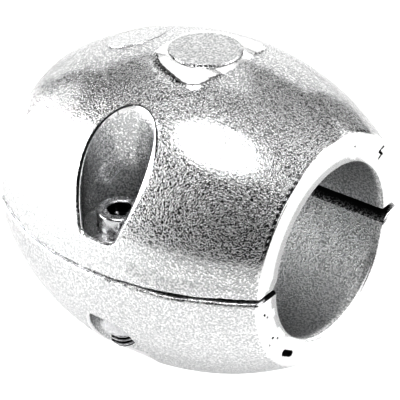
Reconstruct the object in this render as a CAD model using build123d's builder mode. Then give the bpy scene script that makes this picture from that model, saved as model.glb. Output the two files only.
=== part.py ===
from build123d import *
from math import sqrt
import os

# Egg-shaped anode for a 40 mm propeller shaft: two zinc castings, clamped round the shaft by two
# socket-head screws with nuts. Millimetres. X runs along the shaft, the castings part at the XY
# plane and Z is up. The origin is on the shaft's axis at mid-length. Both castings come from one
# mould: the lower one is the upper one turned half a turn about the shaft, so each has a pocket
# for a screw's head on one side and a pocket for a nut on the other.

# ---------------------------------------------------------------- the castings
shaft_diameter = 40.0         # the bore grips a shaft of this size
body_diameter = 75.0          # outside, at mid-length
body_length = 72.5            # along the shaft
end_face_diameter = 51.8      # outside of the flat ring at each end
parting_gap = 1.6             # left between the castings, so that the screws can clamp
mould_shift = 0.3             # the outside sits this far off the bore's axis, towards the nut side
end_edge_radius = 1.0         # rounding round each end face
parting_edge_radius = 0.5     # rounding along the outer edges of the parting face
bore_edge_bevel = 1.8         # bevel on the bore's long edge, on the screw-head side

# ---------------------------------------------------------------- round pads left by the mould
# for each pad: the place along the shaft where it lies square to the outside, how far on from
# there its middle is, its diameter, and how far below the curved outside it lies
pads = ((0.0, 2.0, 15.7, 0.25), (-17.3, 0.0, 13.7, 0.3))
pad_root = 3.0                # depth of metal under a pad

# ---------------------------------------------------------------- socket-head screws and nuts
screw_diameter = 6.0
screw_length = 30.0           # under the head
screw_point_bevel = 0.8
head_diameter = 10.0
head_height = 4.0
head_edge_radius = 0.5
socket_width = 5.0            # across the flats
socket_depth = 2.5
nut_width = 10.0              # across the flats
nut_height = 5.0
nut_bevel_width = 0.6         # the bevel on a nut's corners, measured along its face
nut_bevel_height = 0.35       # and down its side
thread_clearance = 0.05       # between the plain shank and the nut, all round

# ---------------------------------------------------------------- the screws in the castings
screw_inset = 9.3             # from the body's widest line to each screw's axis
screw_station = 1.8           # along the shaft, from mid-length to the screws
head_seat = 7.3               # from the shaft's axis to the floor of the head pocket
nut_seat = 12.8               # from the shaft's axis to the floor of the nut pocket
hole_clearance = 0.3          # between a screw and its hole, all round
head_pocket_clearance = 3.4   # between a head and its pocket, all round
nut_pocket_clearance = 1.9    # between a nut's corners and its pocket, all round
pocket_root_radius = 0.8      # cast fillet round the floor of a pocket
pocket_lip_radius = 0.5       # rounding of a pocket's rim

# ---------------------------------------------------------------- worked out from the sizes above
bore_radius = shaft_diameter / 2
body_radius = body_diameter / 2
half_length = body_length / 2
end_radius = end_face_diameter / 2
profile_rise = body_radius - end_radius
profile_radius = (half_length**2 + profile_rise**2) / (2 * profile_rise)
screw_offset = body_radius - screw_inset
nut_corner_radius = nut_width / sqrt(3)
head_pocket_radius = head_diameter / 2 + head_pocket_clearance
nut_pocket_radius = nut_corner_radius + nut_pocket_clearance
hole_radius = screw_diameter / 2 + hole_clearance
shaft_axis = Axis.X
HALF_TURN = 180


def pad_plane(station, recess):
    """Plane of a round pad, square to the outside at this place along the shaft, facing outward."""
    lean = station / profile_radius
    upright = sqrt(1 - lean**2)
    crown_height = body_radius - profile_radius * (1 - upright)
    outward = Vector(lean, 0, upright)
    along = Vector(upright, 0, -lean)
    crown = Vector(station, mould_shift, crown_height)
    return Plane(origin=crown - outward * recess, x_dir=along, z_dir=outward)


# ================================================================ upper casting
with BuildPart() as upper_casting:
    # the outside: an arc turned about the middle of the mould
    with BuildSketch(Plane.XY):
        with BuildLine():
            crown_arc = ThreePointArc(
                (-half_length, mould_shift + end_radius),
                (0, mould_shift + body_radius),
                (half_length, mould_shift + end_radius),
            )
            Polyline(
                crown_arc @ 1,
                (half_length, mould_shift),
                (-half_length, mould_shift),
                crown_arc @ 0,
            )
        make_face()
    revolve(axis=Axis((0, mould_shift, 0), shaft_axis.direction))
    fillet(upper_casting.edges().filter_by(GeomType.CIRCLE), end_edge_radius)

    # the round pads on the crown, flat where the outside is curved
    for station, shift, pad_diameter, recess in pads:
        with BuildSketch(pad_plane(station, recess)) as pad:
            with Locations((shift, 0)):
                Circle(pad_diameter / 2)
        extrude(amount=-pad_root)
        extrude(pad.sketch, amount=pad_root, mode=Mode.SUBTRACT)

    # the bore, and the parting face with its edges
    with BuildSketch(Plane.YZ):
        Circle(bore_radius)
    extrude(amount=half_length, both=True, mode=Mode.SUBTRACT)
    split(bisect_by=Plane.XY.offset(parting_gap / 2), keep=Keep.TOP)
    bore_edges = upper_casting.edges().filter_by(shaft_axis).group_by(Axis.Z)[0]
    chamfer(bore_edges.sort_by(Axis.Y)[0], bore_edge_bevel)
    parting_edges = upper_casting.faces().filter_by(Plane.XY).group_by(Axis.Z)[0].edges()
    fillet(parting_edges.filter_by(GeomType.LINE, reverse=True), parting_edge_radius)

    # a pocket for a screw's head on one side and one for a nut on the other, each with its hole
    for side, seat, pocket_radius in (
        (-screw_offset, head_seat, head_pocket_radius),
        (screw_offset, nut_seat, nut_pocket_radius),
    ):
        with BuildSketch(Plane.XZ.offset(-side)) as pocket_section:
            with Locations((screw_station, seat)):
                Rectangle(pocket_radius, body_radius, align=Align.MIN)
            floor_corner = pocket_section.vertices().group_by(Axis.Y)[0].sort_by(Axis.X)[-1]
            fillet(floor_corner, pocket_root_radius)
        revolve(axis=Axis((screw_station, side, 0), (0, 0, 1)), mode=Mode.SUBTRACT)
        rim = upper_casting.edges(Select.LAST).filter_by(GeomType.CIRCLE, reverse=True)
        fillet(rim, pocket_lip_radius)
        with BuildSketch(Plane.XY):
            with Locations((screw_station, side)):
                Circle(hole_radius)
        extrude(amount=body_radius, mode=Mode.SUBTRACT)

# ================================================================ lower casting
with BuildPart() as lower_casting:
    add(upper_casting.part.rotate(shaft_axis, HALF_TURN))

# ================================================================ right-hand screw, head up
with BuildPart() as right_screw:
    with BuildSketch(Plane((screw_station, -screw_offset, head_seat))):
        Circle(head_diameter / 2)
    extrude(amount=head_height)
    head_top = right_screw.faces().sort_by(Axis.Z)[-1]
    fillet(head_top.edges(), head_edge_radius)
    with BuildSketch(Plane((screw_station, -screw_offset, head_seat + head_height))):
        RegularPolygon(socket_width / 2, side_count=6, major_radius=False)
    extrude(amount=-socket_depth, mode=Mode.SUBTRACT)
    with BuildSketch(Plane((screw_station, -screw_offset, head_seat))):
        Circle(screw_diameter / 2)
    extrude(amount=-screw_length)
    chamfer(right_screw.faces().sort_by(Axis.Z)[0].edges(), screw_point_bevel)

# ================================================================ right-hand nut, under the lower casting
with BuildPart() as right_nut:
    nut_face = Plane((screw_station, -screw_offset, -nut_seat), z_dir=(0, 0, -1))
    with BuildSketch(nut_face):
        Circle(nut_corner_radius)
    extrude(amount=nut_height)
    chamfer(right_nut.edges().filter_by(GeomType.CIRCLE), nut_bevel_height, nut_bevel_width)
    with BuildSketch(nut_face):
        RegularPolygon(nut_width / 2, side_count=6, major_radius=False)
    extrude(amount=nut_height, mode=Mode.INTERSECT)
    with BuildSketch(nut_face):
        Circle(screw_diameter / 2 + thread_clearance)
    extrude(amount=nut_height, mode=Mode.SUBTRACT)

# ================================================================ left-hand screw and nut, head down
with BuildPart() as left_screw:
    add(right_screw.part.rotate(shaft_axis, HALF_TURN))
with BuildPart() as left_nut:
    add(right_nut.part.rotate(shaft_axis, HALF_TURN))

upper_casting.part.label = "upper_casting"
lower_casting.part.label = "lower_casting"
right_screw.part.label = "right_screw"
right_nut.part.label = "right_nut"
left_screw.part.label = "left_screw"
left_nut.part.label = "left_nut"

os.makedirs("parts", exist_ok=True)
export_step(upper_casting.part, "parts/upper_casting.step")
export_step(lower_casting.part, "parts/lower_casting.step")
export_step(right_screw.part, "parts/right_screw.step")
export_step(right_nut.part, "parts/right_nut.step")
export_step(left_screw.part, "parts/left_screw.step")
export_step(left_nut.part, "parts/left_nut.step")
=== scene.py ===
# %% [markdown]
# # A shaft anode
#
# A boat's propeller shaft carries a lump of zinc that corrodes in place of the bronze and steel
# round it. This one is egg-shaped, so that the water slides past. It is two castings, drawn
# together round the shaft by two socket-head screws with nuts. The measured solids of all six
# pieces are loaded first, as a fixed frame, and everything after that is finish and fine shape.

# %% Load the measured solids
import math

import bmesh
import bpy
from mathutils import Matrix, Vector


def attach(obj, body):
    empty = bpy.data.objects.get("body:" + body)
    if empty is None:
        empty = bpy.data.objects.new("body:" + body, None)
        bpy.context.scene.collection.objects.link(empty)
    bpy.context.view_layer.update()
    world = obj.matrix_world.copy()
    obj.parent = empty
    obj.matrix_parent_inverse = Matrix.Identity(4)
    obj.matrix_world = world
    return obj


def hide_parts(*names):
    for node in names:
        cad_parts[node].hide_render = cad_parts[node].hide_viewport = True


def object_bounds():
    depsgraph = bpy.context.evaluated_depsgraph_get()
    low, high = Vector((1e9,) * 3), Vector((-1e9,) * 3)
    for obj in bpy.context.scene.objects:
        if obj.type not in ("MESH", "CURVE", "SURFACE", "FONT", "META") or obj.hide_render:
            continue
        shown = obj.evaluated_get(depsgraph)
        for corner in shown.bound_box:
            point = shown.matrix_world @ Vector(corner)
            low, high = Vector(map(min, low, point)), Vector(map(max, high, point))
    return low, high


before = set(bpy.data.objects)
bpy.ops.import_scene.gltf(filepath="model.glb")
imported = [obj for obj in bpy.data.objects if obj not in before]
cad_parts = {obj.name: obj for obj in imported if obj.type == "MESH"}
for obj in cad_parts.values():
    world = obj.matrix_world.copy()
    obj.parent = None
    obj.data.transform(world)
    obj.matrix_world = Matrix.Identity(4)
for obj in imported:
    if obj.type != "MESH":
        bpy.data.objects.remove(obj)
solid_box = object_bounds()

MM = 0.001
print("solids:", ", ".join(sorted(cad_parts)))

# %% [markdown]
# ## The camera
#
# A small bright object is looked at from some way off with a long lens, so that its near end
# doesn't swell. The camera looks down on the front end of the bore from the right-hand side. It
# could be aimed with a constraint, but three directions worked out from two angles place it
# exactly, and nothing is left to solve later.

# %% Place the camera
camera_azimuth = math.radians(38.71)
camera_elevation = math.radians(30.77)
camera_roll = math.radians(-0.34)
camera_distance = 354.0 * MM
camera_aside = 0.4 * MM
camera_below = 0.6 * MM
camera_lens = 142.0


def camera_directions(azimuth, elevation, roll):
    """The camera's right, up and backward directions."""
    back = Vector((
        math.sin(azimuth) * math.cos(elevation),
        -math.cos(azimuth) * math.cos(elevation),
        math.sin(elevation),
    ))
    right = Vector((math.cos(azimuth), math.sin(azimuth), 0.0))
    up = back.cross(right)
    turned_right = right * math.cos(roll) + up * math.sin(roll)
    turned_up = up * math.cos(roll) - right * math.sin(roll)
    return turned_right, turned_up, back


right, up, back = camera_directions(camera_azimuth, camera_elevation, camera_roll)
camera_data = bpy.data.cameras.new("camera")
camera_data.lens = camera_lens
camera_data.clip_start = 0.01
camera = bpy.data.objects.new("camera", camera_data)
bpy.context.scene.collection.objects.link(camera)
place = Matrix((right, up, back)).transposed().to_4x4()
place.translation = back * camera_distance + right * camera_aside - up * camera_below
camera.matrix_world = place
bpy.context.scene.camera = camera
bpy.context.scene.view_settings.view_transform = "Standard"
bpy.context.scene.view_settings.look = "Very High Contrast"
print("camera at", [round(value, 3) for value in place.translation])

# %% [markdown]
# ## The studio
#
# Bright metal has hardly any colour of its own: it shows the room. Small products are shot on a
# white table, with soft boxes over them and dark card between, because it is the dark card that
# draws the shape. A picture of a studio wrapped round the scene would do it, but lights that
# stand at real places can be moved one at a time, so each highlight gets its own.

# %% The white table
# The camera sees the table brighter than the metal does, so that it comes out plain white
# without flooding the anode's lower half.
lowest = solid_box[0][2]
table_radius = 0.9
table_brightness = 0.18
table_seen = 0.62


def nodes_of(material):
    """An empty node tree for this material, and its output."""
    material.use_nodes = True
    tree = material.node_tree
    tree.nodes.clear()
    return tree, tree.nodes.new("ShaderNodeOutputMaterial")


def join(tree, out_socket, in_socket):
    tree.links.new(out_socket, in_socket)


table_mesh = bpy.data.meshes.new("table")
table_shape = bmesh.new()
bmesh.ops.create_circle(table_shape, cap_ends=True, radius=table_radius, segments=96)
table_shape.to_mesh(table_mesh)
table_shape.free()
table = bpy.data.objects.new("table", table_mesh)
table.location.z = lowest
bpy.context.scene.collection.objects.link(table)
white_table = bpy.data.materials.new("white_table")
tree, output = nodes_of(white_table)
white = tree.nodes.new("ShaderNodeBsdfPrincipled")
white.inputs["Base Color"].default_value = (0.9, 0.9, 0.9, 1.0)
white.inputs["Roughness"].default_value = 0.6
white.inputs["Emission Color"].default_value = (1.0, 1.0, 1.0, 1.0)
glow = tree.nodes.new("ShaderNodeLightPath")
seen = tree.nodes.new("ShaderNodeMapRange")
seen.inputs["To Min"].default_value = table_brightness
seen.inputs["To Max"].default_value = table_seen
join(tree, glow.outputs["Is Camera Ray"], seen.inputs["Value"])
join(tree, seen.outputs["Result"], white.inputs["Emission Strength"])
join(tree, white.outputs["BSDF"], output.inputs["Surface"])
table_mesh.materials.append(white_table)
print("table", round(2 * table_radius, 2), "m across, at", round(lowest, 4))

# %% The dark room, seen white by the camera
room_brightness = 0.02
room = bpy.data.worlds.new("room")
bpy.context.scene.world = room
room.use_nodes = True
tree = room.node_tree
tree.nodes.clear()
room_out = tree.nodes.new("ShaderNodeOutputWorld")
backdrop = tree.nodes.new("ShaderNodeBackground")
backdrop.inputs["Color"].default_value = (1.0, 1.0, 1.0, 1.0)
backdrop.inputs["Strength"].default_value = 1.0
dark_room = tree.nodes.new("ShaderNodeBackground")
dark_room.inputs["Color"].default_value = (1.0, 1.0, 1.0, 1.0)
dark_room.inputs["Strength"].default_value = room_brightness
which = tree.nodes.new("ShaderNodeLightPath")
pick = tree.nodes.new("ShaderNodeMixShader")
join(tree, which.outputs["Is Camera Ray"], pick.inputs["Fac"])
join(tree, dark_room.outputs["Background"], pick.inputs[1])
join(tree, backdrop.outputs["Background"], pick.inputs[2])
join(tree, pick.outputs["Shader"], room_out.inputs["Surface"])
print("room brightness", room_brightness)

# %% The soft boxes
# Each light: name, direction round from the near side, height (both in degrees), distance,
# width, height and brightness. The top box is an oval one. The bore box stands close behind the
# far end and throws a narrow beam through the bore.
soft_boxes = (
    ("top_box", 15, 71, 0.60, 0.38, 0.30, 2.6),
    ("ceiling_box", 180, 78, 0.90, 1.50, 1.30, 0.12),
    ("left_box", -50, 15, 0.70, 0.50, 0.42, 2.8),
    ("left_card", -84, 14, 0.72, 0.38, 0.32, 0.5),
    ("bore_box", -72, 13, 0.15, 0.05, 0.05, 0.36),
    ("back_left_box", -140, 17, 0.80, 0.95, 0.52, 0.78),
    ("peak_box", -137, 53, 0.80, 0.44, 0.38, 0.62),
    ("back_right_box", 135, 18, 0.80, 1.05, 0.50, 1.0),
    ("right_peak_box", 120, 42, 0.80, 0.50, 0.20, 1.5),
    ("right_box", 84, 22, 0.80, 0.44, 0.30, 0.8),
)
oval_boxes = ("top_box",)
beams = {"bore_box": 26}


def direction(azimuth, elevation):
    """Where to look from the anode: round from the near side to the right, and up."""
    azimuth, elevation = math.radians(azimuth), math.radians(elevation)
    return Vector((
        math.sin(azimuth) * math.cos(elevation),
        -math.cos(azimuth) * math.cos(elevation),
        math.sin(elevation),
    ))


def hang_soft_box(name, azimuth, elevation, distance, width, height, brightness):
    """An area light that faces the anode."""
    data = bpy.data.lights.new(name, "AREA")
    data.shape = "ELLIPSE" if name in oval_boxes else "RECTANGLE"
    data.size = width
    data.size_y = height
    data.energy = brightness * math.pi * width * height
    data.spread = math.radians(beams.get(name, 180))
    box = bpy.data.objects.new(name, data)
    outward = direction(azimuth, elevation)
    box.location = outward * distance
    box.rotation_euler = outward.to_track_quat("Z", "Y").to_euler()
    box.visible_camera = False
    bpy.context.scene.collection.objects.link(box)
    return data.energy


for soft_box in soft_boxes:
    print(soft_box[0], round(hang_soft_box(*soft_box), 2), "W")

# %% [markdown]
# ## Cast zinc
#
# Zinc poured into an iron mould comes out bright, with a fine sandy skin: grains of under half a
# millimetre, each tipped its own way, so that where the room is dark some still catch a light.
# One roughness would only blur the picture of the room, and rolling bump does nearly the same. So
# the noise is cut into terraces first: their tops stay flat and mirror the room, and only the
# short slopes between them sparkle. Two layers stored on the mesh say where the metal was dressed
# smooth, and where it is dull. The second also darkens the colour, its hollows most: painted
# shade between the halves, deep in the pockets and in the pits.

# %% Make the cast zinc
grain_size = 0.42 * MM
grain_depth = 0.055 * MM
unevenness_size = 1.4 * MM
unevenness_depth = 0.07 * MM
cloud_size = 16 * MM


def cast_zinc_material():
    material = bpy.data.materials.new("cast_zinc")
    tree, output = nodes_of(material)
    metal = tree.nodes.new("ShaderNodeBsdfPrincipled")
    metal.inputs["Metallic"].default_value = 1.0
    place = tree.nodes.new("ShaderNodeTexCoord")

    def noise(size, detail, roughness):
        texture = tree.nodes.new("ShaderNodeTexNoise")
        texture.inputs["Scale"].default_value = 1.0 / size
        texture.inputs["Detail"].default_value = detail
        texture.inputs["Roughness"].default_value = roughness
        join(tree, place.outputs["Object"], texture.inputs["Vector"])
        return texture.outputs["Fac"]

    def stretch(value, low, high, to_low, to_high):
        ramp = tree.nodes.new("ShaderNodeMapRange")
        names = ("From Min", "From Max", "To Min", "To Max")
        for name, number in zip(names, (low, high, to_low, to_high)):
            ramp.inputs[name].default_value = number
        join(tree, value, ramp.inputs["Value"])
        return ramp.outputs["Result"]

    def bump(height, distance, strength, below=None):
        node = tree.nodes.new("ShaderNodeBump")
        node.inputs["Distance"].default_value = distance
        if isinstance(strength, float):
            node.inputs["Strength"].default_value = strength
        else:
            join(tree, strength, node.inputs["Strength"])
        join(tree, height, node.inputs["Height"])
        if below is not None:
            join(tree, below, node.inputs["Normal"])
        return node.outputs["Normal"]

    def combine(operation, first, second):
        node = tree.nodes.new("ShaderNodeMath")
        node.operation = operation
        for socket, value in zip(node.inputs, (first, second)):
            if isinstance(value, float):
                socket.default_value = value
            else:
                join(tree, value, socket)
        return node.outputs["Value"]

    def worked(name):
        layer = tree.nodes.new("ShaderNodeAttribute")
        layer.attribute_name = name
        return layer.outputs["Fac"]

    dressed, dull_and_shade = worked("dressed"), worked("dull_and_shade")
    grain = noise(grain_size, 3.0, 0.6)
    unevenness = noise(unevenness_size, 2.0, 0.5)
    clouds = noise(cloud_size, 3.0, 0.55)
    raw = combine("SUBTRACT", 1.0, dressed)
    surface = bump(unevenness, unevenness_depth, combine("MULTIPLY", raw, 0.5))
    coarse = combine("ADD", 0.66, combine("MULTIPLY", dull_and_shade, 0.75))
    terraces = stretch(grain, 0.44, 0.56, 0.0, 1.0)
    surface = bump(terraces, grain_depth, combine("MULTIPLY", raw, coarse), surface)
    join(tree, surface, metal.inputs["Normal"])
    polish = stretch(clouds, 0.3, 0.7, 0.12, 0.20)
    join(tree, combine("ADD", polish, combine("MULTIPLY", dull_and_shade, 0.75)), metal.inputs["Roughness"])
    shade = tree.nodes.new("ShaderNodeValToRGB")
    shade.color_ramp.elements[0].position = 0.42
    shade.color_ramp.elements[0].color = (0.60, 0.605, 0.61, 1.0)
    shade.color_ramp.elements[1].position = 0.58
    shade.color_ramp.elements[1].color = (0.95, 0.95, 0.95, 1.0)
    join(tree, combine("MAXIMUM", grain, dressed), shade.inputs["Fac"])
    # Where the dull layer is high the colour blends towards near black, most in the grain's
    # hollows: painted shade between the halves, deep in the pockets and in the pits, and a darker
    # tone on the bore, pad and scuffs.
    tone = tree.nodes.new("ShaderNodeMix")
    tone.data_type = "RGBA"
    depth = combine("SUBTRACT", 0.7, combine("MULTIPLY", terraces, 0.7))
    hollows = combine("MULTIPLY", dull_and_shade, depth)
    join(tree, combine("ADD", combine("MULTIPLY", dull_and_shade, dull_and_shade), hollows), tone.inputs[0])
    join(tree, shade.outputs["Color"], tone.inputs[6])
    tone.inputs[7].default_value = (0.06, 0.06, 0.062, 1.0)
    join(tree, tone.outputs[2], metal.inputs["Base Color"])
    join(tree, metal.outputs["BSDF"], output.inputs["Surface"])
    return material


cast_zinc = cast_zinc_material()
print("cast zinc made, with grains of", round(grain_size / MM, 2), "mm")

# %% [markdown]
# ## The castings
#
# The measured solids have the right shape, but their skin is as even as glass. A casting isn't:
# the metal shrinks a little unevenly as it sets, the mould sheds fine flakes, and the seam of the
# mould leaves a ragged lip. So each casting is a working copy of its solid. A remesher would blur
# the crisp rims, so the copy keeps the solid's own triangles and only splits the long edges.

# %% Sizes of the castings, repeated from the solids
body_radius = 37.5 * MM
profile_radius = 62.44 * MM
outside_shift = 0.3 * MM
bore_radius = 20 * MM
half_length = 36.25 * MM
pad_middle = (2.0 * MM, outside_shift)
pad_radius = 7.85 * MM
pocket_station = 1.8 * MM
pocket_offset = 28.2 * MM
pocket_radius = {-1: 8.4 * MM, 1: 7.674 * MM}
pocket_floor = {-1: 7.3 * MM, 1: 12.8 * MM}


def upright(point, turned):
    """The same point as on the upper casting: the lower one is that one, turned half a turn."""
    return Vector((point.x, -point.y, -point.z)) if turned else Vector(point)


def outside_radius(along):
    return body_radius - profile_radius + math.sqrt(max(profile_radius**2 - along**2, 0.0))


# %% Copy a solid and split its long edges
skin_edge = 0.75 * MM
lip_edge = 0.35 * MM
fault_edge = 0.2 * MM
plain_edge = 4.0 * MM


def working_copy(node):
    shape = bmesh.new()
    shape.from_mesh(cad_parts[node].data)
    bmesh.ops.remove_doubles(shape, verts=shape.verts, dist=1e-6)
    return shape


def split_long_edges(shape, longest, near=None, rounds=9):
    """Halve every edge longer than this, again and again, until none is left."""
    for _ in range(rounds):
        long_edges = [edge for edge in shape.edges if edge.calc_length() > longest]
        if near is not None:
            long_edges = [edge for edge in long_edges if near(edge)]
        if not long_edges:
            break
        bmesh.ops.subdivide_edges(shape, edges=long_edges, cuts=1)
        bmesh.ops.triangulate(shape, faces=[face for face in shape.faces if len(face.verts) > 3])
    return len(shape.faces)


# %% Set the new points on the true curves
reach = 0.03 * MM


def true_up(shape, turned):
    """Move each point that is on a curved face exactly onto it. Returns the points outside."""
    outside = []
    for vert in shape.verts:
        point = upright(vert.co, turned)
        radius = outside_radius(point.x)
        from_middle = math.hypot(point.y - outside_shift, point.z)
        from_axis = math.hypot(point.y, point.z)
        side = 1 if point.y > 0 else -1
        from_screw = math.hypot(point.x - pocket_station, point.y - side * pocket_offset)
        if abs(from_middle - radius) < reach and abs(point.x) < half_length - 1.2 * MM:
            scale = radius / from_middle
            point.y = outside_shift + (point.y - outside_shift) * scale
            point.z = min(point.z * scale, -lowest)
            outside.append(vert)
        elif abs(from_axis - bore_radius) < reach:
            point.y *= bore_radius / from_axis
            point.z *= bore_radius / from_axis
        elif (
            abs(from_screw - pocket_radius[side]) < reach
            and point.z > pocket_floor[side] + 0.85 * MM
        ):
            scale = pocket_radius[side] / from_screw
            point.x = pocket_station + (point.x - pocket_station) * scale
            point.y = side * pocket_offset + (point.y - side * pocket_offset) * scale
        vert.co = upright(point, turned)
    return outside


# %% [markdown]
# The crown's round pad is where the metal was poured in. After the stub is cut off, the founder
# dresses the metal in front of the pad and behind it, which leaves two smooth flats that end in a
# blunt point. They slope a little less than the barrel under them, so they stand a few tenths of
# a millimetre proud at their ends. Each point inside the outline moves to that slope.

# %% Dress the crown round the pad
flat_outline = [
    (-6.6, 0.0), (-6.9, 4.0), (-6.4, 7.3), (-4.2, 9.3), (-2.3, 10.7), (0.4, 11.7), (3.3, 12.6),
    (6.0, 13.3), (7.9, 13.2), (9.7, 11.9), (10.3, 10.1), (10.8, 7.8), (11.3, 5.0), (11.9, 2.3),
    (11.4, 0.0),
]
flat_step = math.tan(math.radians(48))
flat_slope = 0.263
flat_start = (5.4, 7.4)
flat_dressed = 0.9
pad_dressed = 0.22


def inside_distance(outline, x, y):
    """How far inside a closed outline a point lies; nought or less outside it."""
    inside = False
    nearest = 1e9
    previous = outline[-1]
    for corner in outline:
        (ax, ay), (bx, by) = previous, corner
        if (ay > y) != (by > y) and x < (bx - ax) * (y - ay) / (by - ay) + ax:
            inside = not inside
        along = ((x - ax) * (bx - ax) + (y - ay) * (by - ay)) / ((bx - ax) ** 2 + (by - ay) ** 2)
        along = min(max(along, 0.0), 1.0)
        nearest = min(nearest, math.hypot(x - ax - along * (bx - ax), y - ay - along * (by - ay)))
        previous = corner
    return nearest if inside else -nearest


def dress_crown(shape, turned):
    """Raise the two flats. Returns how much each point on them and on the pad is smoothed."""
    smoothed = {}
    for vert in shape.verts:
        point = upright(vert.co, turned)
        x, y = point.x / MM, abs(point.y - outside_shift) / MM
        if point.z < 30 * MM or not -7.5 < x < 12.5 or y > 14:
            continue
        from_pad = math.hypot(point.x - pad_middle[0], point.y - pad_middle[1])
        if from_pad < pad_radius + 0.02 * MM:
            smoothed[vert] = pad_dressed
            continue
        inside = inside_distance(flat_outline, x, y)
        if inside <= 0:
            continue
        flat = outside_radius(point.x) / MM - 0.5 - flat_slope * (y - pad_radius / MM)
        start = min(max((y - flat_start[0]) / (flat_start[1] - flat_start[0]), 0.0), 1.0)
        move = min((flat - point.z / MM) * start, flat_step * inside)
        if move > 0:
            point.z = min(point.z + move * MM, -lowest)
            vert.co = upright(point, turned)
        smoothed[vert] = flat_dressed * min(1.0, inside / 0.4)
    return smoothed


# %% [markdown]
# The skin itself: a slow unevenness a few millimetres across and some hundredths deep, and small
# pits where flakes of the mould came away. It only ever goes inwards, so that the casting never
# grows past its measured size.

# %% Sink the skin
from mathutils import noise

skin_depth = 0.035 * MM


def uneven(point, size, seed):
    """Smooth random height between nought and one."""
    place = point / size + Vector((seed, 2.7 * seed, -1.3 * seed))
    return 0.5 + 0.5 * max(-1.0, min(1.0, 1.6 * noise.noise(place)))


def sink_skin(shape, outside, seed, smoothed):
    shape.normal_update()
    for vert in outside:
        depth = skin_depth * (
            0.65 * uneven(vert.co, 3.4 * MM, seed) + 0.35 * uneven(vert.co, 1.7 * MM, seed + 5)
        )
        vert.co -= vert.normal * depth * (1.0 - 0.8 * smoothed.get(vert, 0.0))


# %% Where the skin needs fine triangles
def depth_below_skin(point):
    """How deep a point of the upper casting lies under the outside."""
    return outside_radius(point.x) - math.hypot(point.y - outside_shift, point.z)


def from_screw_axis(point):
    side = 1 if point.y > 0 else -1
    return side, math.hypot(point.x - pocket_station, point.y - side * pocket_offset)


def on_skin(point):
    return depth_below_skin(point) < 1.8 * MM


def on_lip(point):
    side, from_screw = from_screw_axis(point)
    return depth_below_skin(point) < 1.9 * MM and from_screw < pocket_radius[side] + 0.6 * MM


def refine(shape, turned, longest, where):
    """Split the long edges whose two ends both lie where they are wanted."""
    known = {}

    def wanted(vert):
        if vert not in known:
            known[vert] = where(upright(vert.co, turned))
        return known[vert]

    return split_long_edges(
        shape, longest, lambda edge: wanted(edge.verts[0]) and wanted(edge.verts[1])
    )


# %% [markdown]
# A mould can't hold a sharp edge, so each pocket's mouth is rounded: its wall stands a little
# nearer to the screw than its rim does, and a quarter round joins the two. It is much wider on the
# side of the front end, where the pattern leaned. A bevel modifier would give every edge one
# width, so the points are moved by a rule instead.

# %% Round the pockets' mouths
lip_width = {-1: 0.35 * MM, 1: 0.4 * MM}
lip_lean = {-1: 1.15 * MM, 1: 0.3 * MM}
lip_dressed = 0.8
still_radius = 5.6 * MM


def round_mouths(shape, turned):
    """Draw the pockets' walls in, along a quarter round. Returns how smooth each point is."""
    smoothed = {}
    for vert in shape.verts:
        point = upright(vert.co, turned)
        side, from_screw = from_screw_axis(point)
        radius = pocket_radius[side]
        if not still_radius < from_screw < radius + 0.6 * MM:
            continue
        if point.z < pocket_floor[side] - 0.05 * MM:
            continue
        depth = depth_below_skin(point)
        if depth < 0.001 * MM:
            continue
        out_x = (point.x - pocket_station) / from_screw
        out_y = (point.y - side * pocket_offset) / from_screw
        width = lip_width[side] + lip_lean[side] * max(out_x + 0.2, 0.0) / 1.2
        under = 1.0 - min(depth / width, 1.0)
        draw = width * math.sqrt(max(1.0 - under * under, 0.0))
        draw *= min((from_screw - still_radius) / (radius - still_radius), 1.0)
        point.x -= out_x * draw
        point.y -= out_y * draw
        if depth < width and from_screw > radius - 0.1 * MM:
            smoothed[vert] = lip_dressed
        vert.co = upright(point, turned)
    return smoothed


# %% [markdown]
# Along the near side the two castings almost touch: each has a ragged lip that the mould's seam
# left, and the lower one stands a little proud. The gap is half a millimetre at the front end and
# closes to a hair towards the back. Both edges follow a short table of stations.

# %% Draw the near seam together
# Station along the shaft, height of the upper edge and of the lower edge
near_seam = (
    (36.3, 0.80, 0.25), (30.0, 0.72, 0.12), (26.5, 0.42, 0.10), (24.0, 0.22, -0.02),
    (21.0, 0.26, -0.32), (18.0, 0.22, -0.30), (14.5, 0.04, -0.12), (11.0, 0.06, -0.06),
    (8.6, 0.04, -0.12), (7.4, -0.22, -0.36), (3.0, -0.12, -0.20), (-2.0, -0.20, -0.26),
    (-8.0, -0.29, -0.31), (-10.0, -0.30, -0.44), (-12.5, -0.28, -0.38), (-14.0, -0.36, -0.33),
    (-24.0, -0.51, -0.47), (-31.0, -0.51, -0.47), (-36.3, -0.50, -0.48),
)
half_gap = 0.8


def seam_height(along, column):
    stations = [row[0] for row in near_seam]
    along = min(max(along / MM, stations[-1]), stations[0])
    for before, after in zip(near_seam, near_seam[1:]):
        if along >= after[0]:
            share = (along - after[0]) / (before[0] - after[0])
            share = share * share * (3 - 2 * share)
            return after[column] + (before[column] - after[column]) * share
    return near_seam[-1][column]


def draw_seam(shape, turned, seed):
    """Move the near edge of a casting to its height along the seam."""
    for vert in shape.verts:
        point = vert.co
        from_axis = math.hypot(point.y, point.z)
        if point.y > -18 * MM or abs(point.z) > 5 * MM:
            continue
        if not turned and from_axis < bore_radius + 2.6 * MM:
            continue
        rag = uneven(Vector((point.x, 0, 0)), 1.5 * MM, seed) - 0.5
        rag += 0.5 * (uneven(Vector((point.x, 0, 0)), 0.6 * MM, seed + 3) - 0.5)
        if turned:
            fade = 1.0 - min(max((-half_gap * MM - point.z) / (1.3 * MM), 0.0), 1.0)
            target = (seam_height(point.x, 2) + half_gap + 0.10 * rag) * MM
        else:
            fade = 1.0 - min(max((point.z - half_gap * MM) / (4 * MM), 0.0), 1.0)
            target = (seam_height(point.x, 1) - half_gap + 0.16 * rag) * MM
        point.z += fade**2 * target


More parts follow.
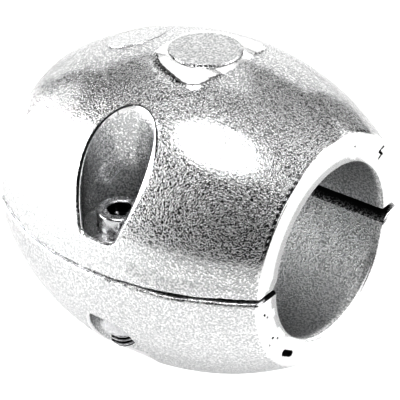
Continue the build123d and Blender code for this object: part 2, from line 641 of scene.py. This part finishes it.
# %% [markdown]
# The front faces were sawn or milled, so they are smooth, but cutting laid bare a few faults: a
# diamond-shaped pit in the lower casting, a short crack in the upper one and some specks. The
# faces round each are split finely, then sunk.

# %% Cut the faults in the front faces
# Points across and up a face, all in millimetres, with a half width and a depth
faults = (
    ([(-16.6, -17.1), (-14.2, -18.7)], 0.75, 0.9),
    ([(18.5, 17.3), (16.9, 16.7), (18.0, 15.7), (16.8, 15.1)], 0.30, 0.6),
    ([(-23.9, -3.4), (-23.5, -3.8)], 0.24, 0.4),
    ([(-22.9, -4.5), (-22.7, -4.7)], 0.20, 0.4),
    ([(-20.9, -10.8), (-20.6, -11.0)], 0.24, 0.4),
    ([(-19.1, -11.8), (-18.9, -12.0)], 0.20, 0.4),
    ([(-21.8, -12.1), (-21.7, -12.3)], 0.18, 0.3),
    ([(7.0, 22.2), (7.2, 22.1)], 0.20, 0.3),
)


def from_line(points, y, z):
    """Distance from a broken line."""
    nearest = 1e9
    for (ay, az), (by, bz) in zip(points, points[1:]):
        share = ((y - ay) * (by - ay) + (z - az) * (bz - az)) / ((by - ay) ** 2 + (bz - az) ** 2)
        share = min(max(share, 0.0), 1.0)
        nearest = min(nearest, math.hypot(y - ay - share * (by - ay), z - az - share * (bz - az)))
    return nearest


def fault_depth(point):
    y, z = point.y / MM, point.z / MM
    deepest = 0.0
    for points, half_width, depth in faults:
        inside = 1.0 - from_line(points, y, z) / half_width
        deepest = max(deepest, depth * min(max(inside * 1.6, 0.0), 1.0))
    return deepest


def near_a_fault(edge):
    for vert in edge.verts:
        if vert.co.x < half_length - 0.01 * MM:
            return False
    middle = (edge.verts[0].co + edge.verts[1].co) / 2
    reach = edge.calc_length() / MM / 2 + 0.4
    return any(
        from_line(points, middle.y / MM, middle.z / MM) < half_width + reach
        for points, half_width, depth in faults
    )


# %% [markdown]
# One finish everywhere looks like plastic. On the real piece the sawn faces and the mouths' edges
# are smooth, and the bore and the pockets' depths are dull. The faces between the halves are
# painted nearly black, and the pockets' depths darker, as painted shade. These are stored as two
# layers of numbers, one pair for each corner of each face, so that a change at a sharp edge stays
# sharp. The material reads them.

# %% Say where the metal is dressed, where it is dull and where shade is painted
sawn_dressed = 0.85
bore_dull = 0.30
pad_dull = 0.2
scuff_dull = 0.2
# Deep in a pocket the colour gets painted shade, darker with depth below the skin, past the depth
# given next.
pocket_dull_and_shade = 0.4
pocket_shade_depth = 7.5 * MM
scuff_outline = [
    (9.6, 2.7), (9.7, 5.0), (11.5, 5.6), (15.4, 5.2), (20.7, 4.4), (25.5, 4.4), (29.2, 4.3),
    (35.6, 3.6), (35.6, 2.6), (29.0, 2.6), (25.7, 2.2), (19.8, 1.1), (15.5, 1.4), (12.2, 1.6),
]


def dull_and_shade_at(point, normal, turned):
    """How dull a face is at a point, and how much painted shade it gets: between the halves, in
    the bore and pockets, on scuffs.
    """
    place = upright(point, turned)
    below = depth_below_skin(place)
    from_axis = math.hypot(point.y, point.z)
    # Painted shade on the faces between the halves: darker the deeper they lie under the skin,
    # less dark further from the seam.
    if abs(normal.z) > 0.5 and abs(point.z) < 4 * MM and abs(point.y) > bore_radius - 0.9 * MM:
        lighter = max(1.0 - 0.25 * max(abs(point.z) / MM - 1.2, 0), 0.6)
        return min(max(below / MM - 0.7, 0.0), 1.0) * lighter
    if abs(normal.x) < 0.5 and from_axis < bore_radius + 0.05 * MM:
        return bore_dull
    from_pad = math.hypot(place.x - pad_middle[0], place.y - pad_middle[1])
    if place.z > 37 * MM and from_pad < pad_radius:
        return pad_dull
    side, from_screw = from_screw_axis(place)
    # Painted shade deep in the pocket, growing with depth.
    if from_screw < pocket_radius[side] + 0.1 * MM and below > pocket_shade_depth:
        return pocket_dull_and_shade * min((below - pocket_shade_depth) / (7 * MM), 1.0)
    if point.y < -20 * MM and 0.5 * MM < point.z < 6 * MM:
        inside = inside_distance(scuff_outline, point.x / MM, point.z / MM)
        return scuff_dull * min(max(inside * 2, 0.0), 1.0)
    return 0.0


def finish_layers(shape, turned, smoothed, sunk):
    """The two layers: how dressed each corner of each face is, and how dull, with its painted
    shade.
    """
    dressed, dull_and_shade = [], []
    for face in shape.faces:
        at_end = abs(face.verts[0].co.x) > half_length - 0.5 * MM
        sawn = abs(face.normal.x) > 0.5 and at_end
        for loop in face.loops:
            fault = sunk[loop.vert.index] > 0.05
            dressed.append(sawn_dressed if sawn else smoothed.get(loop.vert, 0.0))
            # A pit or crack gets full painted shade, near black.
            dull_and_shade.append(1.0 if fault else dull_and_shade_at(loop.vert.co, face.normal, turned))
    return {"dressed": dressed, "dull_and_shade": dull_and_shade}


# %% Make each casting
crisp_angle = 32


def shape_casting(node, turned, seed):
    """A casting's fine shape, and its two layers."""
    shape = working_copy(node)
    split_long_edges(shape, plain_edge)
    refine(shape, turned, skin_edge, on_skin)
    refine(shape, turned, lip_edge, on_lip)
    faces = split_long_edges(shape, fault_edge, near_a_fault)
    outside = true_up(shape, turned)
    smoothed = round_mouths(shape, turned)
    smoothed.update(dress_crown(shape, turned))
    sink_skin(shape, outside, seed, smoothed)
    shape.normal_update()
    shape.verts.index_update()
    sunk = []
    for vert in shape.verts:
        at_front = vert.co.x > half_length - 0.01 * MM
        sunk.append(fault_depth(vert.co) if at_front else 0)
    layers = finish_layers(shape, turned, smoothed, sunk)
    for vert in shape.verts:
        vert.co.x -= sunk[vert.index] * MM
    draw_seam(shape, turned, seed)
    print(node, faces, "faces,", len(outside), "points on the outside")
    return shape, layers


def make_casting(node, turned, seed):
    """The piece that stands for a casting."""
    shape, layers = shape_casting(node, turned, seed)
    mesh = bpy.data.meshes.new(node + "_cast")
    shape.to_mesh(mesh)
    shape.free()
    for name, values in layers.items():
        mesh.attributes.new(name, "FLOAT", "CORNER").data.foreach_set("value", values)
    mesh.materials.append(cast_zinc)
    mesh.shade_smooth()
    mesh.set_sharp_from_angle(angle=math.radians(crisp_angle))
    piece = bpy.data.objects.new(node + "_cast", mesh)
    bpy.context.scene.collection.objects.link(piece)
    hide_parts(node)
    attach(piece, "root")
    return piece


for node, turned, seed in (("upper_casting", False, 3.0), ("lower_casting", True, 11.0)):
    make_casting(node, turned, seed)

# %% [markdown]
# ## Plain steel
#
# The screws and nuts are bright steel, turned and rolled, so their skin is much finer than the
# zinc's: only a slightly uneven polish. The thread's roots and the socket get painted shade, a
# dark colour. It could be painted by hand, but the distance from a screw's own axis says where it
# is, so it is worked out once and stored on the mesh.

# %% Make the plain steel
def plain_steel_material():
    material = bpy.data.materials.new("plain_steel")
    tree, output = nodes_of(material)
    metal = tree.nodes.new("ShaderNodeBsdfPrincipled")
    metal.inputs["Metallic"].default_value = 1.0
    place = tree.nodes.new("ShaderNodeTexCoord")
    smear = tree.nodes.new("ShaderNodeTexNoise")
    smear.inputs["Scale"].default_value = 1 / (0.9 * MM)
    smear.inputs["Detail"].default_value = 3.0
    join(tree, place.outputs["Object"], smear.inputs["Vector"])
    polish = tree.nodes.new("ShaderNodeMapRange")
    for name, number in (("From Min", 0.3), ("From Max", 0.7), ("To Min", 0.16), ("To Max", 0.34)):
        polish.inputs[name].default_value = number
    join(tree, smear.outputs["Fac"], polish.inputs["Value"])
    join(tree, polish.outputs["Result"], metal.inputs["Roughness"])
    tint = tree.nodes.new("ShaderNodeValToRGB")
    tint.color_ramp.elements[0].position = 0.35
    tint.color_ramp.elements[0].color = (0.56, 0.56, 0.57, 1.0)
    tint.color_ramp.elements[1].position = 0.65
    tint.color_ramp.elements[1].color = (0.82, 0.82, 0.83, 1.0)
    join(tree, smear.outputs["Fac"], tint.inputs["Fac"])
    # The near-black colour is painted shade in the thread's roots and the socket.
    painted_shade = tree.nodes.new("ShaderNodeAttribute")
    painted_shade.attribute_name = "painted_shade"
    tone = tree.nodes.new("ShaderNodeMix")
    tone.data_type = "RGBA"
    join(tree, painted_shade.outputs["Fac"], tone.inputs[0])
    join(tree, tint.outputs["Color"], tone.inputs[6])
    tone.inputs[7].default_value = (0.03, 0.03, 0.03, 1.0)
    join(tree, tone.outputs[2], metal.inputs["Base Color"])
    grain = tree.nodes.new("ShaderNodeBump")
    grain.inputs["Distance"].default_value = 0.02 * MM
    grain.inputs["Strength"].default_value = 0.5
    join(tree, smear.outputs["Fac"], grain.inputs["Height"])
    join(tree, grain.outputs["Normal"], metal.inputs["Normal"])
    join(tree, metal.outputs["BSDF"], output.inputs["Surface"])
    return material


plain_steel = plain_steel_material()
print("plain steel made")

# %% [markdown]
# ## The screws and nuts
#
# Turned parts are rings stacked along an axis. If every ring has the same number of points, one
# helper can skin them all: a hexagon is a ring whose radius goes up and down six times, a knurl
# one where it does so at every second point, and a thread is a stack of thin rings whose radius
# follows a slope that climbs as it goes round. So the whole screw is a single closed skin.

# %% Rings and skins
ring_points = 96
# Painted shade: points nearer a screw's axis than this radius, above this height, get a dark
# colour.
shade_radius = 2.9
shade_lowest = -22.0


def shade_in_roots(x, y, z):
    """How much painted shade a point of a screw gets: only inside the thread's crests and in the
    socket.
    """
    if z <= shade_lowest:
        return 0.0
    return min(max((shade_radius - math.hypot(x, y)) / 0.3, 0.0), 1.0)


def ring(radius, height):
    """A ring of points. The radius and the height may each be a number or depend on the angle."""
    points = []
    for number in range(ring_points):
        angle = 2 * math.pi * number / ring_points
        r = radius(angle, number) if callable(radius) else radius
        z = height(angle) if callable(height) else height
        points.append((r * math.cos(angle), r * math.sin(angle), z))
    return points


def hexagon(width, largest=1e9):
    """The radius of a hexagon this wide across its flats, cut off at a largest radius."""
    def radius(angle, number):
        from_flat = (angle + math.pi / 6) % (math.pi / 3) - math.pi / 6
        return min(width / 2 / math.cos(from_flat), largest)
    return radius


def skin(name, rings, closed, node, turned, material, smooth_angle):
    """Join the rings into a piece that stands for a node. Lengths are in millimetres here."""
    points = [point for one in rings for point in one]
    faces = []
    count = len(rings)
    for row in range(count if closed else count - 1):
        low, high = row * ring_points, ((row + 1) % count) * ring_points
        for number in range(ring_points):
            after = (number + 1) % ring_points
            faces.append((low + number, low + after, high + after, high + number))
    if not closed:
        faces.append(tuple(reversed(range(ring_points))))
        faces.append(tuple(range((count - 1) * ring_points, count * ring_points)))
    mesh = bpy.data.meshes.new(name)
    mesh.from_pydata([(x * MM, y * MM, z * MM) for x, y, z in points], [], faces)
    layer = mesh.attributes.new("painted_shade", "FLOAT", "POINT")
    layer.data.foreach_set("value", [shade_in_roots(*point) for point in points])
    mesh.transform(Matrix.Translation((pocket_station, -pocket_offset, 0)))
    if turned:
        mesh.transform(Matrix.Rotation(math.pi, 4, "X"))
    tidy = bmesh.new()
    tidy.from_mesh(mesh)
    bmesh.ops.recalc_face_normals(tidy, faces=tidy.faces)
    tidy.to_mesh(mesh)
    tidy.free()
    mesh.materials.append(material)
    mesh.shade_smooth()
    mesh.set_sharp_from_angle(angle=math.radians(smooth_angle))
    piece = bpy.data.objects.new(name, mesh)
    bpy.context.scene.collection.objects.link(piece)
    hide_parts(node)
    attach(piece, "root")
    print(name, len(mesh.polygons), "faces")
    return piece


# %% The socket-head screw
head_seat = 7.3
head_height = 4.0
head_radius = 5.0
shank_radius = 3.0
screw_tip = head_seat - 30.0
thread_pitch = 1.0
thread_depth = 0.61
thread_step = 1 / 14
knurl_depth = 0.10


def thread(height):
    """The thread's radius at this height: a flat crest, two slopes and a rounded root."""
    def radius(angle, number):
        along = (height / thread_pitch - angle / (2 * math.pi)) % 1.0
        from_crest = abs(along - 0.5) * 2
        cut = min(max((from_crest - 0.14) / 0.66, 0.0), 1.0)
        run_out = min(max((head_seat - 2.5 - height) / 1.5, 0.0), 1.0)
        point = min(max((height - screw_tip) / 0.8, 0.0), 1.0)
        cone = shank_radius - 0.8 * (1.0 - point)
        return min(shank_radius - thread_depth * run_out * cut, cone)
    return radius


def knurl(angle, number):
    return head_radius - knurl_depth * (number % 2)


def screw_rings():
    top = head_seat + head_height
    rings = [
        ring(0.05, top - 3.3),
        ring(hexagon(5.0), top - 2.5),
        ring(hexagon(5.0), top - 0.25),
        ring(3.1, top - 0.02),
        ring(3.2, top),
        ring(4.45, top),
    ]
    for step in range(1, 7):
        angle = math.pi / 2 * step / 6
        rings.append(ring(4.45 + 0.5 * math.sin(angle), top - 0.5 * (1 - math.cos(angle))))
    rings += [ring(knurl, top - 0.75), ring(knurl, head_seat + 0.35), ring(4.95, head_seat + 0.2)]
    rings += [ring(4.8, head_seat), ring(3.3, head_seat), ring(3.08, head_seat - 0.08)]
    rings.append(ring(3.0, head_seat - 0.3))
    steps = round((head_seat - 1.0 - screw_tip) / thread_step)
    for step in range(steps + 1):
        height = head_seat - 1.0 - (head_seat - 1.0 - screw_tip) * step / steps
        rings.append(ring(thread(height), height))
    rings.append(ring(0.05, screw_tip))
    return rings


for node, turned in (("right_screw", False), ("left_screw", True)):
    skin(node + "_turned", screw_rings(), False, node, turned, plain_steel, 28)

# %% The hexagon nut
nut_seat = 12.8
nut_height = 5.0
nut_width = 10.0
nut_bevel = (0.6, 0.35)


def nut_rings():
    corner = nut_width / math.sqrt(3)
    rings = [ring(3.35, -nut_seat), ring(3.05, -nut_seat - 0.4)]
    rings += [ring(3.05, -nut_seat - nut_height + 0.4), ring(3.35, -nut_seat - nut_height)]
    outside = []
    for step in range(8):
        down = nut_bevel[1] * step / 7
        largest = corner - nut_bevel[0] * (1 - step / 7)
        outside.append((hexagon(nut_width, largest), down))
    rings += [ring(radius, -nut_seat - nut_height + down) for radius, down in outside]
    rings += [ring(radius, -nut_seat - down) for radius, down in reversed(outside)]
    return rings


for node, turned in (("right_nut", False), ("left_nut", True)):
    skin(node + "_turned", nut_rings(), True, node, turned, plain_steel, 28)
